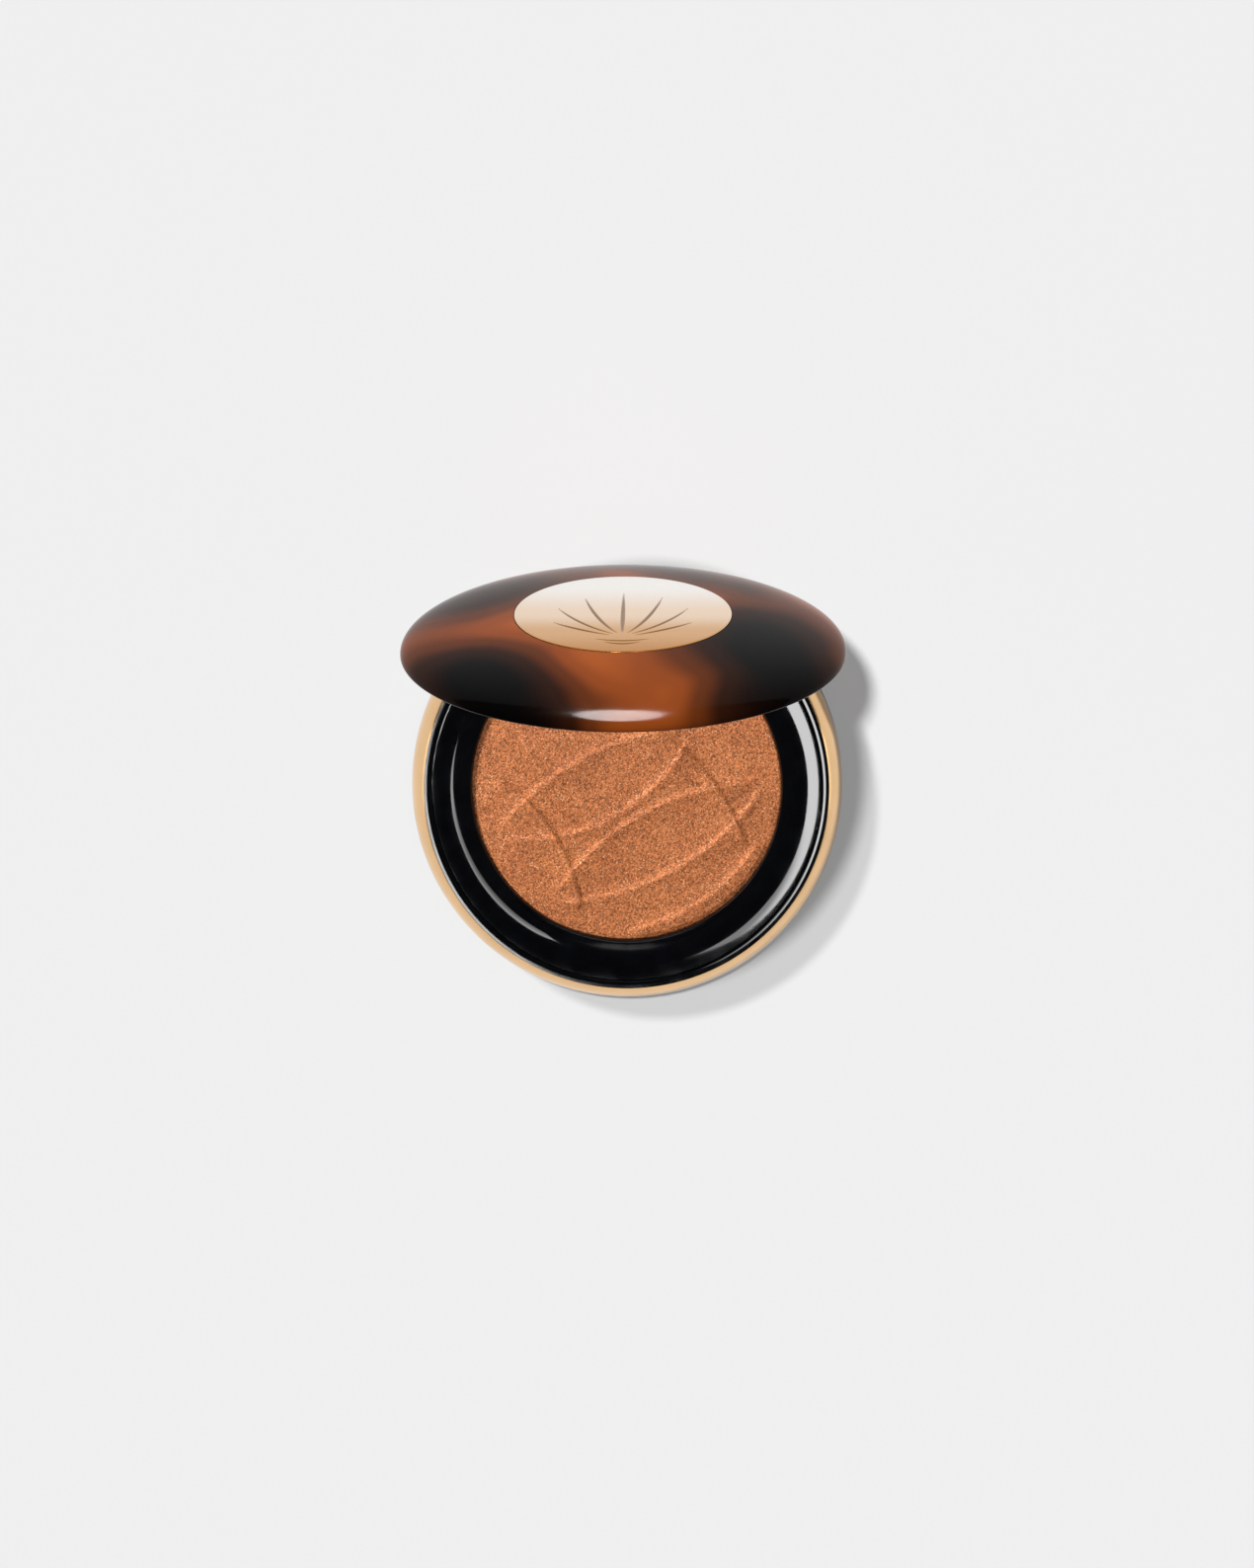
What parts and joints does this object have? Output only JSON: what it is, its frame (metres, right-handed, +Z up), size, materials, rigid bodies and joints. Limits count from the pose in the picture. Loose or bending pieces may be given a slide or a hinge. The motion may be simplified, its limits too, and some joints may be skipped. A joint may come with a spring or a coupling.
{
  "type": "powder compact",
  "caption": "Round pressed-powder compact that stands open, with a banded base, a ring tray, a pan of shimmering powder, and a hinged domed lid with a medallion and a mirror.",
  "frame": {"origin": "centre of the base's flat underside", "axes": "+Z up, square to the underside; the hinge is at +Y, and +X runs along the hinge axis"},
  "size_m": [0.078, 0.0805, 0.085],
  "materials": {
    "case_black": "gloss",
    "rim_gold": "polished",
    "tray_black": "gloss",
    "ballast_steel": "satin",
    "adhesive_white": "matte",
    "pan_aluminium": "satin",
    "bronze_powder": "matte",
    "magnet_nickel": "satin",
    "pin_steel": "polished",
    "label_black": "satin",
    "tortoiseshell": "gloss",
    "medallion_gold": "polished",
    "mirror_glass": "polished",
    "bush_acetal": "satin"
  },
  "bodies": {
    "base": {"base_shell": "case_black", "rim_band": "rim_gold", "tray_frame": "tray_black", "weight_plate": "ballast_steel", "pan_adhesive": "adhesive_white", "powder_pan": "pan_aluminium", "powder_cake": "bronze_powder", "base_magnet_left": "magnet_nickel", "base_magnet_right": "magnet_nickel", "hinge_pin": "pin_steel", "base_label": "label_black"},
    "lid": {"lid_shell": "tortoiseshell", "medallion": "medallion_gold", "medallion_adhesive": "adhesive_white", "lid_frame": "case_black", "mirror": "mirror_glass", "mirror_adhesive": "adhesive_white", "lid_magnet_left": "magnet_nickel", "lid_magnet_right": "magnet_nickel", "hinge_bush_left": "bush_acetal", "hinge_bush_right": "bush_acetal"}
  },
  "joints": [
    {"name": "lid_hinge", "type": "hinge", "parent": "base", "child": "lid", "pos_m": [0, 0.038, 0.00995], "axis": [-1, 0, 0], "range_deg": [-76.5, 49.5]}
  ]
}
